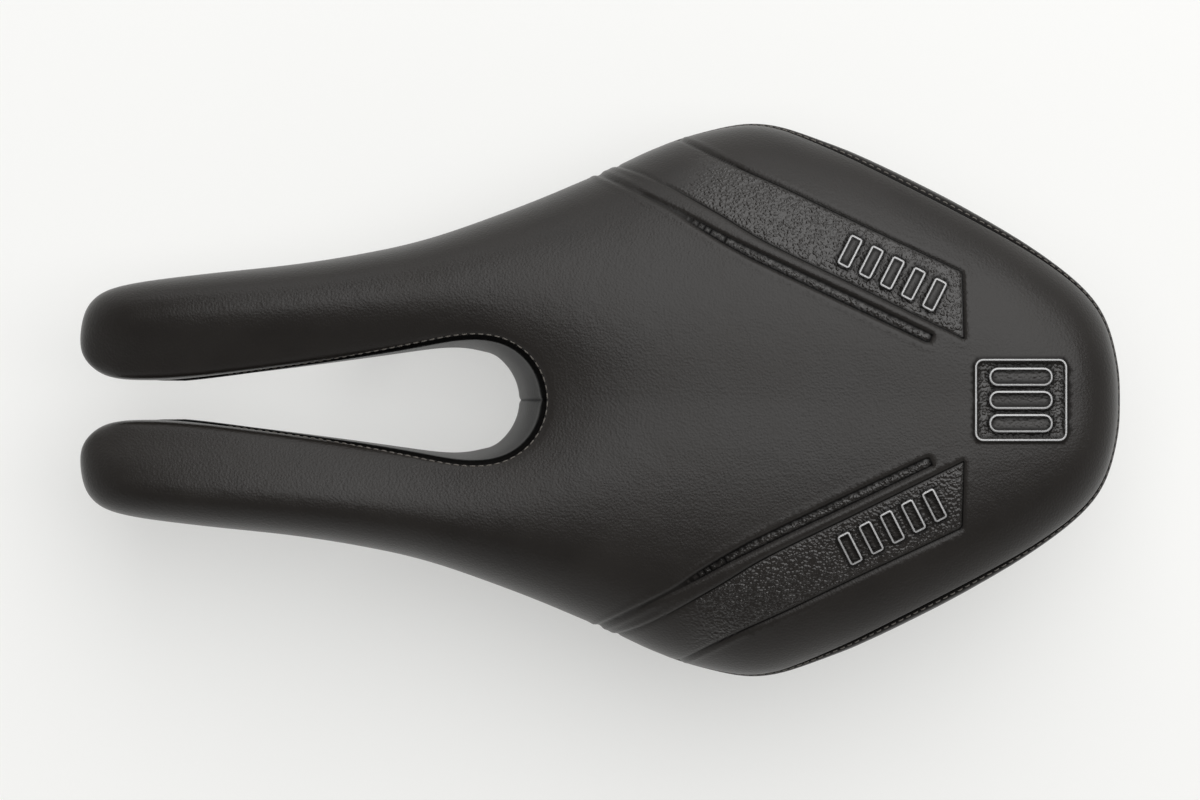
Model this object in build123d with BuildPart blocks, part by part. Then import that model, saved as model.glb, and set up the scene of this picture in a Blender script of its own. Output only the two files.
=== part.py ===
from build123d import *

import os
from bisect import bisect_right
from collections import namedtuple
from functools import cache
from math import cos, radians, sin

# Split-nose bicycle saddle: a padded U on a moulded base, carried on two round rails.
#
# Frame: millimetres, +X forward to the nose, +Y to the rider's left, +Z up. The rails' undersides
# touch Z = 0 and the origin is at the middle of the overall length and width.
#
# From the top down: a sewn cover (top panel, outer skirt and two cutout skirts) with its seam
# threads, a foam pad, the moulded base with its ribs and rail seats, the rails, and the caps,
# screws and threaded inserts that hold the rails in their seats.

# ---------------------------------------------------------------- driving dimensions
LENGTH = 245.0
COVER = 1.5            # thickness of the sewn cover
HEM = 4.5              # how far the cover turns in under the base
BASE_PLAY = 0.03       # between the base and the cover around it and its hem
BASE_WALL = 3.0        # rim wall of the base
BASE_PLATE = 3.5       # plate of the base, under the foam
RAIL_D = 7.0
RAIL_SPACING = 44.0    # between the two rails' centres, where the seatpost clamps
RAIL_STRAIGHT = 75.0   # straight, level length of each rail
RAIL_BEND = 18.0       # bend radius of the rail's centreline
BEND_RUN = 9.0         # from the end of the straight length to the corner of the bend

HALF = LENGTH / 2
RAIL_R = RAIL_D / 2

# Cross-sections of the padded body, without the cutout between the arms. Each one is half a
# section: the middle height, the crest beside it, the widest point and the underside's edge.
Section = namedtuple("Section", "x width side_z under_z crest_y crest_z middle_z")
SECTIONS = [
    Section(-122.5, 6.0, 51.0, 44.0, 2.0, 58.0, 58.0),
    Section(-121.4, 12.5, 53.0, 41.0, 4.0, 63.0, 63.0),
    Section(-118.0, 21.4, 54.0, 39.0, 6.5, 67.0, 66.9),
    Section(-110.0, 29.7, 55.0, 38.0, 9.0, 70.0, 69.8),
    Section(-95.0, 40.2, 54.0, 37.0, 12.0, 71.4, 71.0),
    Section(-75.0, 51.4, 52.0, 35.5, 15.0, 71.4, 70.9),
    Section(-55.0, 60.4, 48.0, 34.0, 17.0, 70.9, 70.3),
    Section(-37.0, 65.2, 44.5, 33.0, 18.0, 70.4, 69.7),
    Section(-20.0, 62.0, 43.5, 33.5, 18.5, 69.9, 69.0),
    Section(0.0, 53.4, 44.5, 34.5, 21.0, 69.3, 67.6),
    Section(20.0, 45.1, 46.0, 35.5, 23.5, 68.5, 64.6),
    Section(45.0, 36.8, 47.5, 36.0, 24.0, 67.1, 60.0),
    Section(70.0, 32.3, 48.0, 36.0, 22.0, 65.2, 56.5),
    Section(95.0, 29.6, 47.0, 36.0, 19.5, 62.2, 53.0),
    Section(110.0, 27.6, 46.0, 36.5, 18.0, 58.6, 50.0),
    Section(118.0, 25.2, 45.0, 37.5, 16.5, 54.4, 47.6),
    Section(121.3, 21.5, 44.3, 39.0, 14.5, 50.6, 46.0),
    Section(122.5, 16.5, 43.8, 41.0, 11.0, 47.0, 45.0),
]
# Where the body is cut for its loft: every 8 mm, and closer towards the two rounded ends.
STATIONS = [-122.5, -121.9, -120.5, -118, -114, -108]
STATIONS += [-100 + 8 * i for i in range(26)]
STATIONS += [108, 113.5, 117.5, 120.3, 121.9, 122.5]
FULLNESS = 0.62        # how full the curve is between the crest and the widest point
TUCK = 2.5             # how far the side turns in from the widest point to the underside

# The cutout: half its outline, from the flare at the nose to where the round end begins.
CUTOUT_TOP = [(126, 19), (121.6, 10.2), (117.5, 6.5), (111, 5.4), (85, 7.0), (56, 10.8), (38, 13.8)]
CUTOUT_BOTTOM = [(126, 18), (121.2, 9.2), (117, 5.6), (111, 4.5), (85, 6.0), (58, 9.4), (43, 11.4)]
CUTOUT_TOP_END = (25.8, 15.3)      # centre x and radius of the round end at the top
CUTOUT_BOTTOM_END = (32.2, 12.0)   # and at the bottom
CUTOUT_LOW, CUTOUT_HIGH = 30.0, 72.0
ROUND_END_ANGLES = [radians(a) for a in (90, 60, 30, 0, -30, -60, -90)]
CUTOUT_MARGIN = 6.5                # how far around the cutout its skirts reach, under the base

# Height of the seam between top panel and skirt along the saddle, outside and in the cutout.
OUTER_SEAM = [(-126, 57.5), (-100, 59.5), (-75, 58.5), (-57, 54), (-38, 45.5), (-18, 41.5),
              (10, 40), (55, 39.5), (88, 37.5), (112, 33)]
CUTOUT_SEAM = [(4, 64.5), (27, 64), (47, 60.5), (62, 57), (76, 52.5), (92, 45), (108, 33)]

# Stitches along the seams.
STITCH, STITCH_PITCH, THREAD_D = 2.0, 2.9, 0.6
OUTER_STITCH_RISE = -0.6           # height of the outer row above its seam, on the skirt
CUTOUT_STITCH_EDGE = 1.3           # distance of the cutout's row from the cutout's edge
OUTER_STITCH_FRONT, CUTOUT_STITCH_FRONT = 84.0, 92.0

# The base's plate is arched: its top along the middle, and how far it falls at the sides.
ARCH = [(-130, 50), (-65, 49.3), (0, 47.6), (65, 45.5), (130, 43)]
ARCH_FALL = 7.0
ARCH_REACH = 75.0

# Ribs under the plate: the two long ones, the cross ones, and their lowest edge.
RIB, RIB_LOW = 2.2, 40.5
LONG_RIB_Y, LONG_RIB_X = 11.0, (-112.0, 8.0)
CROSS_RIBS_X = (-62.0, -34.0, -6.0)

# Each rail end lies straight along X in a seat: the rail's tip, its corner, and its seat's box.
Seat = namedtuple("Seat", "tip_x corner_x y z low_x high_x width screws")
FRONT = Seat(98.0, 70.0, 18.2, 34.0, 79.0, 109.0, 12.5, [(103.6, 0.0)])
REAR = Seat(-97.0, -70.0, 24.0, 35.0, -98.5, -78.5, 18.0, [(-88.5, -6.1), (-88.5, 6.1)])
CAP_DEPTH, CAP_ROUND = 7.0, 1.5
SCREW_D, HEAD_D, HEAD_H, DRIVE_D, DRIVE_H = 3.0, 5.5, 2.2, 2.0, 1.2
INSERT_D, INSERT_L = 4.2, 5.0
ABOVE = 60.0                       # height that clears the plate everywhere

SIDES = {"left": 1, "right": -1}


# ---------------------------------------------------------------- the padded body
def blend(table, x, column=1):
    """A column of a table at x, on a smooth curve that never overshoots the table's rows."""
    xs = [row[0] for row in table]
    ys = [row[column] for row in table]
    steps = [b - a for a, b in zip(xs, xs[1:])]
    rises = [(b - a) / step for a, b, step in zip(ys, ys[1:], steps)]
    slopes = [rises[0]]
    for i in range(1, len(rises)):
        level = rises[i - 1] * rises[i] <= 0
        near, far = 2 * steps[i] + steps[i - 1], steps[i] + 2 * steps[i - 1]
        slopes.append(0 if level else (near + far) / (near / rises[i - 1] + far / rises[i]))
    slopes.append(rises[-1])
    i = min(max(bisect_right(xs, x) - 1, 0), len(steps) - 1)
    t = (x - xs[i]) / steps[i]
    start, end = (1 + 2 * t) * (1 - t) ** 2, t * t * (3 - 2 * t)
    leave, arrive = t * (1 - t) ** 2, t * t * (t - 1)
    return start * ys[i] + end * ys[i + 1] + steps[i] * (leave * slopes[i] + arrive * slopes[i + 1])


def section(x):
    """The body's section at x."""
    return Section(*[blend(SECTIONS, x, column) for column in range(len(Section._fields))])


def top_curve(s, inset=0.0):
    """Control points (y, z) of the section's upper curve, from the middle to the widest point."""
    width = s.width - inset
    crest_y, crest_z, middle_z = min(s.crest_y, 0.6 * width), s.crest_z - inset, s.middle_z - inset
    return [
        (0, middle_z), (0.55 * crest_y, middle_z), (crest_y, crest_z),
        (crest_y + FULLNESS * (width - crest_y), crest_z),
        (width, s.side_z + FULLNESS * (crest_z - s.side_z)), (width, s.side_z),
    ]


def side_curve(s, inset, under):
    """Control points (y, z) of the section's side, from the widest point to the underside."""
    width = s.width - inset
    return [(width, s.side_z), (width, (s.side_z + under) / 2), (width - TUCK, under)]


@cache
def body(inset, floor=None):
    """The padded body, every face moved in by inset; floor drops its underside to that height."""
    with BuildPart() as made:
        for x in STATIONS:
            s = section(x)
            under = s.under_z + inset if floor is None else floor
            if s.width - inset < 0.6 * s.crest_y + 2 or s.crest_z - inset < s.side_z + 2:
                continue
            with BuildSketch(Plane.YZ.offset(x * (1 - inset / HALF))):
                with BuildLine():
                    top = Bezier(*top_curve(s, inset))
                    side = Bezier(*side_curve(s, inset, under))
                    Polyline(side @ 1, (0, under), top @ 0)
                make_face()
        loft()
        mirror(about=Plane.XZ)
        add(cutout(inset), mode=Mode.SUBTRACT)
    return made.part


def cutout(inset):
    """The open space between the arms, grown by inset and wider at the top than at the underside."""
    front = HALF + 20
    with BuildPart() as made:
        for level, points, (centre, radius) in (
            (CUTOUT_LOW, CUTOUT_BOTTOM, CUTOUT_BOTTOM_END),
            (CUTOUT_HIGH, CUTOUT_TOP, CUTOUT_TOP_END),
        ):
            grown = radius + inset
            side = [(x, y + inset) for x, y in points]
            round_end = [(centre - grown * cos(a), grown * sin(a)) for a in ROUND_END_ANGLES]
            with BuildSketch(Plane.XY.offset(level)):
                with BuildLine():
                    Spline(*side, *round_end, *[(x, -y) for x, y in reversed(side)])
                    start_x, start_y = side[0]
                    Polyline(side[0], (front, start_y), (front, -start_y), (start_x, -start_y))
                make_face()
        loft(ruled=True)
    return made.part


# ---------------------------------------------------------------- the sewn cover
def below_seam(seam):
    """Everything below a seam, over the saddle's whole width."""
    with BuildPart() as made:
        with BuildSketch(Plane.XZ):
            with BuildLine():
                line = Spline(*seam)
                Polyline(line @ 1, (seam[-1][0], 0), (seam[0][0], 0), line @ 0)
            make_face()
        extrude(amount=100, both=True)
    return made.part


def cover_panels():
    """The cover cut along its seams: top panel, outer skirt, and the cutout's skirt."""
    zone = cutout(CUTOUT_MARGIN)
    with BuildPart() as sheet:
        add(body(0))
        add(body(COVER), mode=Mode.SUBTRACT)
        add(body(HEM, floor=0), mode=Mode.SUBTRACT)
    with BuildPart() as outer:
        add(sheet.part)
        add(below_seam(OUTER_SEAM), mode=Mode.INTERSECT)
        add(zone, mode=Mode.SUBTRACT)
    with BuildPart() as inner:
        add(sheet.part)
        add(zone, mode=Mode.INTERSECT)
        add(below_seam(CUTOUT_SEAM), mode=Mode.INTERSECT)
    with BuildPart() as top:
        add(sheet.part)
        add(outer.part, mode=Mode.SUBTRACT)
        add(inner.part, mode=Mode.SUBTRACT)
    return top.part, outer.part, inner.part


def along(points, pitch):
    """Positions and directions at an even pitch along a chain of points."""
    places, left = [], pitch / 2
    for a, b in zip(points, points[1:]):
        a, b = Vector(*a), Vector(*b)
        run = (b - a).length
        while left < run:
            places.append((a + (b - a) * (left / run), (b - a).normalized()))
            left += pitch
        left -= run
    return places


def bezier(points, t):
    """The point at t of the Bezier curve with these control points."""
    while len(points) > 1:
        points = [
            tuple(p + t * (q - p) for p, q in zip(a, b)) for a, b in zip(points, points[1:])
        ]
    return points[0]


def skin(x):
    """A chain of points (y, z) on the body's section at x, from the middle to the underside."""
    s = section(x)
    upper = [bezier(top_curve(s), k / 60) for k in range(60)]
    return upper + [bezier(side_curve(s, 0, s.under_z), k / 20) for k in range(21)]


def where(chain, column, value):
    """The last place, from the middle outwards, where a chain crosses a value of y or z."""
    for a, b in zip(reversed(chain[:-1]), reversed(chain[1:])):
        if min(a[column], b[column]) <= value <= max(a[column], b[column]) and a[column] != b[column]:
            t = (value - a[column]) / (b[column] - a[column])
            return a[0] + t * (b[0] - a[0]), a[1] + t * (b[1] - a[1])
    return chain[-1]


def outer_stitch_line():
    """The outer row of stitches, from the left arm round the tail to the right arm."""
    left = []
    for i in range(241):
        x = OUTER_STITCH_FRONT - (OUTER_STITCH_FRONT + HALF) * sin(radians(90 * i / 240))
        left.append((x, *where(skin(x), 1, blend(OUTER_SEAM, x) + OUTER_STITCH_RISE)))
    return left + [(x, -y, z) for x, y, z in reversed(left)]


def cutout_stitch_line():
    """The row of stitches around the cutout, from the left arm to the right arm."""
    centre, radius = CUTOUT_TOP_END
    radius += CUTOUT_STITCH_EDGE
    edge = sorted(CUTOUT_TOP + [(centre, radius - CUTOUT_STITCH_EDGE)])
    plan = []
    for i in range(60):
        x = CUTOUT_STITCH_FRONT + (centre - CUTOUT_STITCH_FRONT) * i / 60
        plan.append((x, blend(edge, x) + CUTOUT_STITCH_EDGE))
    for i in range(41):
        a = radians(90 * i / 40)
        plan.append((centre - radius * sin(a), radius * cos(a)))
    left = [(x, y, where(skin(x)[:60], 0, max(y, 0.01))[1]) for x, y in plan]
    return left + [(x, -y, z) for x, y, z in reversed(left[:-1])]


def stitches(line):
    """Short lengths of thread lying along a line."""
    with BuildPart() as made:
        with Locations(*[Plane(at, z_dir=way).location for at, way in along(line, STITCH_PITCH)]):
            Cylinder(THREAD_D / 2, STITCH)
    return made.part


# ---------------------------------------------------------------- the base and the foam
def below_arch(drop):
    """Everything below the arched top of the base's plate, lowered by drop."""
    with BuildPart() as made:
        for x, z in ARCH:
            with BuildSketch(Plane.YZ.offset(x)):
                with BuildLine():
                    edge = z - ARCH_FALL - drop
                    top = Bezier((-ARCH_REACH, edge), (0, edge + 2 * ARCH_FALL), (ARCH_REACH, edge))
                    Polyline(top @ 1, (ARCH_REACH, 0), (-ARCH_REACH, 0), top @ 0)
                make_face()
        loft()
    return made.part


def bar(low, high):
    """A box between two corners."""
    middle = [(a + b) / 2 for a, b in zip(low, high)]
    with BuildPart(Location(tuple(middle))) as made:
        Box(*[b - a for a, b in zip(low, high)])
    return made.part


def seat_block(seat, side):
    """The solid under the plate that takes a rail's end from above, with its insert holes."""
    middle_x, length = (seat.low_x + seat.high_x) / 2, seat.high_x - seat.low_x
    with BuildPart(Plane((middle_x, side * seat.y, seat.z))) as made:
        Box(length, seat.width, ABOVE - seat.z, align=(Align.CENTER, Align.CENTER, Align.MIN))
    with BuildPart() as holes:
        with Locations(*[Plane((x, side * seat.y + dy, seat.z)).location for x, dy in seat.screws]):
            Cylinder(INSERT_D / 2, INSERT_L, align=(Align.CENTER, Align.CENTER, Align.MIN))
    with BuildPart() as drilled:
        add(made.part)
        add(holes.part, mode=Mode.SUBTRACT)
        add(rail(side), mode=Mode.SUBTRACT)
    return drilled.part


def base_shell():
    """The moulded base: arched plate, rim wall, ribs and the four rail seats."""
    with BuildPart() as shell:
        add(body(COVER + BASE_PLAY))
        add(below_arch(0), mode=Mode.INTERSECT)
    with BuildPart() as hollow:
        add(body(COVER + BASE_WALL, floor=0))
        add(below_arch(BASE_PLATE), mode=Mode.INTERSECT)
    with BuildPart() as inside:
        for y in (-LONG_RIB_Y, LONG_RIB_Y):
            add(bar((LONG_RIB_X[0], y - RIB / 2, RIB_LOW), (LONG_RIB_X[1], y + RIB / 2, ABOVE)))
        for x in CROSS_RIBS_X:
            add(bar((x - RIB / 2, -HALF, RIB_LOW), (x + RIB / 2, HALF, ABOVE)))
        for side in SIDES.values():
            add(seat_block(FRONT, side))
            add(seat_block(REAR, side))
    with BuildPart() as hem:
        add(body(0))
        add(body(COVER), mode=Mode.SUBTRACT)
        add(body(HEM + BASE_PLAY, floor=0), mode=Mode.SUBTRACT)
    with BuildPart() as trimmed:
        add(inside.part)
        add(body(COVER + BASE_WALL / 2, floor=0), mode=Mode.INTERSECT)
        add(below_arch(BASE_PLATE / 2), mode=Mode.INTERSECT)
        add(hem.part, mode=Mode.SUBTRACT)
    with BuildPart() as made:
        add(shell.part)
        add(hollow.part, mode=Mode.SUBTRACT)
        add(trimmed.part)
    return made.part


def foam_pad():
    """The foam between the base's plate and the cover."""
    with BuildPart() as made:
        add(body(COVER))
        add(below_arch(0), mode=Mode.SUBTRACT)
    return made.part


# ---------------------------------------------------------------- rails, caps and fixings
def rail(side):
    """One bent rail, from its rear seat down to the seatpost clamp and up to its front seat."""
    run = RAIL_STRAIGHT / 2 + BEND_RUN
    low = (RAIL_SPACING / 2 * side, RAIL_R)
    with BuildPart() as made:
        with BuildLine() as path:
            FilletPolyline(
                (REAR.tip_x, REAR.y * side, REAR.z), (REAR.corner_x, REAR.y * side, REAR.z),
                (-run, *low), (run, *low),
                (FRONT.corner_x, FRONT.y * side, FRONT.z), (FRONT.tip_x, FRONT.y * side, FRONT.z),
                radius=RAIL_BEND,
            )
        with BuildSketch(Plane(path.line @ 0, z_dir=(1, 0, 0))):
            Circle(RAIL_R)
        sweep()
    return made.part


def cap(seat, side):
    """The cap that closes a rail seat from below, with its screws' heads let in."""
    middle_x, length = (seat.low_x + seat.high_x) / 2, seat.high_x - seat.low_x
    upright = (Align.CENTER, Align.CENTER, Align.MIN)
    with BuildPart(Plane((middle_x, side * seat.y, seat.z))) as made:
        Box(length, seat.width, CAP_DEPTH, align=(Align.CENTER, Align.CENTER, Align.MAX))
        fillet(made.edges().filter_by(Axis.Z), CAP_ROUND)
        fillet(made.faces().sort_by(Axis.Z)[0].edges(), CAP_ROUND)
    with BuildPart() as drilled:
        add(made.part)
        with Locations(*[(x, side * seat.y + dy, seat.z - CAP_DEPTH) for x, dy in seat.screws]):
            Cylinder(SCREW_D / 2, CAP_DEPTH, align=upright, mode=Mode.SUBTRACT)
            Cylinder(HEAD_D / 2, HEAD_H, align=upright, mode=Mode.SUBTRACT)
        add(rail(side), mode=Mode.SUBTRACT)
    return drilled.part


def screws(seat, side):
    """A seat's socket-head screws, from the bottom of the cap to the end of the inserts."""
    low = seat.z - CAP_DEPTH
    upright = (Align.CENTER, Align.CENTER, Align.MIN)
    with BuildPart() as made:
        with Locations(*[(x, side * seat.y + dy, low) for x, dy in seat.screws]):
            Cylinder(SCREW_D / 2, CAP_DEPTH + INSERT_L, align=upright)
            Cylinder(HEAD_D / 2, HEAD_H, align=upright)
            Cylinder(DRIVE_D / 2, DRIVE_H, align=upright, mode=Mode.SUBTRACT)
    return made.part


def inserts(seat, side):
    """A seat's threaded inserts."""
    upright = (Align.CENTER, Align.CENTER, Align.MIN)
    with BuildPart() as made:
        with Locations(*[(x, side * seat.y + dy, seat.z) for x, dy in seat.screws]):
            Cylinder(INSERT_D / 2, INSERT_L, align=upright)
            Cylinder(SCREW_D / 2, INSERT_L, align=upright, mode=Mode.SUBTRACT)
    return made.part


# ---------------------------------------------------------------- write the pieces
def write(name, part):
    """One labelled piece as its own STEP file."""
    part.label = name
    export_step(part, f"parts/{name}.step")


os.makedirs("parts", exist_ok=True)
top_cover, outer_skirt, cutout_skirt = cover_panels()
write("top_cover", top_cover)
write("outer_skirt", outer_skirt)
for name, side in SIDES.items():
    with BuildPart() as half_skirt:
        add(cutout_skirt)
        split(bisect_by=Plane.XZ, keep=Keep.BOTTOM if side > 0 else Keep.TOP)
    write(f"cutout_skirt_{name}", half_skirt.part)
write("outer_seam_thread", stitches(outer_stitch_line()))
write("cutout_seam_thread", stitches(cutout_stitch_line()))
write("foam_pad", foam_pad())
write("base_shell", base_shell())
for name, side in SIDES.items():
    write(f"rail_{name}", rail(side))
    for end, seat in (("front", FRONT), ("rear", REAR)):
        write(f"{end}_cap_{name}", cap(seat, side))
        write(f"{end}_screws_{name}", screws(seat, side))
        write(f"{end}_inserts_{name}", inserts(seat, side))
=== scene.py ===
import math

import bpy
import numpy as np
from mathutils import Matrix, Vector
from mathutils.bvhtree import BVHTree
from mathutils.geometry import delaunay_2d_cdt


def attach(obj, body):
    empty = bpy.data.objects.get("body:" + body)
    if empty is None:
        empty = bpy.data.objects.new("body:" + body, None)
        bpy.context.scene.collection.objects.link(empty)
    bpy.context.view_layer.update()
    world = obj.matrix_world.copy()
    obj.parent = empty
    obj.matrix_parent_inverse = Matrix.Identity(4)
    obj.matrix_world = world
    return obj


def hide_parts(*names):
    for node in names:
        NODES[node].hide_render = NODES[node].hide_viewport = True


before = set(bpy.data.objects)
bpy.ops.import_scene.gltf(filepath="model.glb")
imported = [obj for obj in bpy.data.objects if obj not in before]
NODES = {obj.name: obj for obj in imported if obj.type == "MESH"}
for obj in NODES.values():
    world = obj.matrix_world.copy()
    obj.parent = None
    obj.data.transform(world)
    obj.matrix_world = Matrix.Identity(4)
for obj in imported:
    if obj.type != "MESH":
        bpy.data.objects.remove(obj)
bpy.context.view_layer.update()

# A split-nose bicycle saddle. The CAD's cover gives every surface its place: rays find its
# outline, its seams and its heights, and the sewn cover is built again on them with its rolled
# edges, pressed panels, creases, badge and stitches. Lengths are in millimetres until a mesh is
# made. The left half (+Y) is built and mirrored.

MM = 0.001

# ---------------------------------------------------------------- camera
VIEW_WIDTH = 283.2          # what the frame's width covers, at the height of the saddle's rim
RIM_HEIGHT = 50.0
CAMERA_DROP = 1300.0        # from the camera down to the rim
CAMERA_X = -0.8
SENSOR = 36.0

camera_data = bpy.data.cameras.new("camera")
camera_data.sensor_width = SENSOR
camera_data.lens = SENSOR * CAMERA_DROP / VIEW_WIDTH
camera = bpy.data.objects.new("camera", camera_data)
camera.location = (CAMERA_X * MM, 0, (RIM_HEIGHT + CAMERA_DROP) * MM)
camera.rotation_euler = (0, 0, math.pi)      # nose to the left of the frame
bpy.context.scene.collection.objects.link(camera)
bpy.context.scene.camera = camera

# ---------------------------------------------------------------- the CAD's cover, as rays see it
COVER_NODES = ("top_cover", "outer_skirt", "cutout_skirt_left", "cutout_skirt_right")
LOW_Z, HIGH_Z, STEP_Z = 33.2, 70.4, 0.6      # heights of the level rays
REACH = 7.0                                  # how far past the silhouette a level ray may hit
RAY, ABOVE = 90, 120                         # length of a level ray, height of a falling one


def cover_tree():
    """One ray tree over the CAD's cover, and whether each of its faces belongs to a skirt."""
    verts, faces, skirt = [], [], []
    for name in COVER_NODES:
        mesh = NODES[name].data
        start = len(verts)
        verts += [v.co / MM for v in mesh.vertices]
        faces += [[start + i for i in p.vertices] for p in mesh.polygons]
        skirt += [name != "top_cover"] * len(mesh.polygons)
    return BVHTree.FromPolygons(verts, faces), skirt


TREE, IS_SKIRT = cover_tree()


def level_hit(spoke, z):
    """How far along a spoke its ray meets the cover at height z, and if that is a skirt."""
    x, y, dx, dy = spoke
    _, _, face, run = TREE.ray_cast(Vector((x, y, z)), Vector((dx, dy, 0)), RAY)
    return (run, IS_SKIRT[face]) if face is not None else (None, False)


def top_z(x, y):
    """Height of the cover's top at (x, y)."""
    hit, _, _, _ = TREE.ray_cast(Vector((x, y, ABOVE)), Vector((0, 0, -1)), ABOVE)
    return hit.z if hit else None


# ---------------------------------------------------------------- spokes round the left half
# A spoke starts in the open beside the saddle and points into it. Together they run from the
# cutout's round end, along the arm's inside, round the nose and along the outside to the tail.
ROUND_END_X, NOSE, TAIL_X = 26.0, (106.0, 16.5), -60.0
OUTSIDE = 75.0
FINE_FROM, FINE_TO = 12.0, -46.0             # the stretch of side that the creases cross


def spokes():
    """Each spoke as (x, y) of its start and (dx, dy) of its way."""
    made = []
    for i in range(26):
        a = math.pi - math.pi / 2 * i / 26
        made.append((ROUND_END_X, 0.0, math.cos(a), math.sin(a)))
    for x in np.arange(ROUND_END_X, NOSE[0], 0.9):
        made.append((x, 0.0, 0.0, 1.0))
    for i in range(50):
        a = -math.pi / 2 + math.pi * i / 50
        far = OUTSIDE - NOSE[1]
        away = far if a >= 0 else min(far, NOSE[1] / max(-math.sin(a), 1e-6))
        out = (math.cos(a), math.sin(a))
        made.append((NOSE[0] + away * out[0], NOSE[1] + away * out[1], -out[0], -out[1]))
    for start, stop, step in (
        (NOSE[0], FINE_FROM, 0.9), (FINE_FROM, FINE_TO, 0.45), (FINE_TO, TAIL_X, 0.9)
    ):
        for x in np.arange(start, stop, -step):
            made.append((x, OUTSIDE, 0.0, -1.0))
    for i in range(111):
        a = math.pi / 2 + math.pi / 2 * i / 110
        out = (math.cos(a), math.sin(a))
        made.append((TAIL_X + OUTSIDE * out[0], OUTSIDE * out[1], -out[0], -out[1]))
    return made


def smooth_ends(values, sigma, past=1):
    """Values smoothed along axis 0 with a Gaussian of sigma steps, mirrored past both ends and
    multiplied by past there."""
    half = int(3 * sigma) + 1
    kernel = np.exp(-0.5 * (np.arange(-half, half + 1) / sigma) ** 2)
    kernel /= kernel.sum()
    values = np.asarray(values, float)
    padded = np.concatenate([past * values[half:0:-1], values, past * values[-2:-half - 2:-1]])
    return sum(k * padded[i:i + len(values)] for i, k in enumerate(kernel))


def step(values, low, high):
    """0 below low, 1 above high, and smooth between."""
    t = np.clip((values - low) / (high - low), 0, 1)
    return t * t * (3 - 2 * t)


STEP = 0.25                                  # spacing of the points along a profile
SEAM_EVEN, SEAM_OUT, SHOULDER_EVEN = 3.0, 6.0, 4.0   # spokes over which each is evened out
EDGE_ROUND = 1.3                             # how softly the profile's corners are rolled
INNER = 5.5                                  # from the shoulder in to the inner ring
HALVINGS = 8                                 # of the gap between two level rays


def profile(spoke):
    """The cover's outline in a spoke's upright plane, as even points (run, z) from the underside
    up and inwards, with the seam's height, the shoulder's position, and for the side the heights
    with their positions along the outline."""
    hits = []
    for z in np.arange(LOW_Z, HIGH_Z, STEP_Z):
        run, skirt = level_hit(spoke, z)
        if run is not None:
            hits.append((run, z, skirt))
    nearest = min(h[0] for h in hits)
    hits = [h for h in hits if h[0] < nearest + REACH]
    low, bottom = hits[0][1] - STEP_Z, hits[0]
    x, y, dx, dy = spoke
    slack = REACH if x < TAIL_X else 1.5 * STEP_Z        # the tail's wall rolls far under
    for _ in range(HALVINGS):                # halve the gap until the underside is found
        middle = (low + bottom[1]) / 2
        run, skirt = level_hit(spoke, middle)
        if run is not None and run < nearest + REACH and abs(run - hits[0][0]) < slack:
            bottom = (run, middle, skirt)
        else:
            low = middle
    hits.insert(0, bottom)
    side = [h for i, h in enumerate(hits) if i == 0 or h[1] - hits[i - 1][1] < 2 * STEP_Z]
    chain = [(run, z) for run, z, _ in side]
    last = chain[-1][0]
    for run in np.arange(last + 0.5, nearest + 22, 0.5):
        z = top_z(x + dx * run, y + dy * run)
        if z is not None and z > chain[-1][1] - 1.5:
            chain.append((run, z))
    chain = np.array(chain)
    length = np.concatenate([[0], np.cumsum(np.hypot(*np.diff(chain, axis=0).T))])
    even = np.arange(0, length[-1], STEP)
    points = np.stack([np.interp(even, length, chain[:, i]) for i in (0, 1)], axis=1)
    seam_z = side[0][1]
    sewn = [z for _, z, skirt in side if skirt]
    if sewn:
        seam_z, above = sewn[-1], sewn[-1] + STEP_Z
        for _ in range(HALVINGS):            # halve the gap until the seam is found
            middle = (seam_z + above) / 2
            if level_hit(spoke, middle)[1]:
                seam_z = middle
            else:
                above = middle
    climb = [z for _, z, _ in side], length[:len(side)]
    fixed = points[0].copy()
    points = np.stack([smooth_ends(points[:, i], EDGE_ROUND / STEP) for i in (0, 1)], axis=1)
    points += (fixed - points[0]) * np.exp(-even[:, None] / 1.5)
    shoulder = float(even[np.argmax(points[:, 1] - points[:, 0])])
    return points, seam_z, shoulder, climb


def along_profile(points, position):
    """The point (run, z) at a position along a profile."""
    at = np.arange(len(points)) * STEP
    return np.array([np.interp(position, at, points[:, i]) for i in (0, 1)])


class Loop:
    """Every spoke with its profile, smoothed along the way round."""

    def __init__(self):
        self.spokes = np.array(spokes())
        found = [profile(tuple(s)) for s in self.spokes]
        self.profiles = [f[0] for f in found]
        heights = smooth_ends([f[1] for f in found], SEAM_EVEN)
        seam = np.array([np.interp(z, *f[3]) for z, f in zip(heights, found)])
        soft = smooth_ends(seam, SEAM_OUT)   # for where the skirt runs out towards the nose
        self.seam = soft + (seam - soft) * step(soft, 1.0, 5.0)
        self.shoulder = self.seam + smooth_ends([f[2] for f in found] - self.seam, SHOULDER_EVEN)

    def ring(self, positions):
        """The points (x, y, z) at one position per spoke along its profile."""
        run, z = np.array([along_profile(p, q) for p, q in zip(self.profiles, positions)]).T
        x, y, dx, dy = self.spokes.T
        made = np.stack([x + dx * run, y + dy * run, z], axis=1)
        made = np.stack([smooth_ends(made[:, i], 2.0, (1, -1, 1)[i]) for i in range(3)], axis=1)
        made[[0, -1], 1] = 0
        return made


LOOP = Loop()

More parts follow.
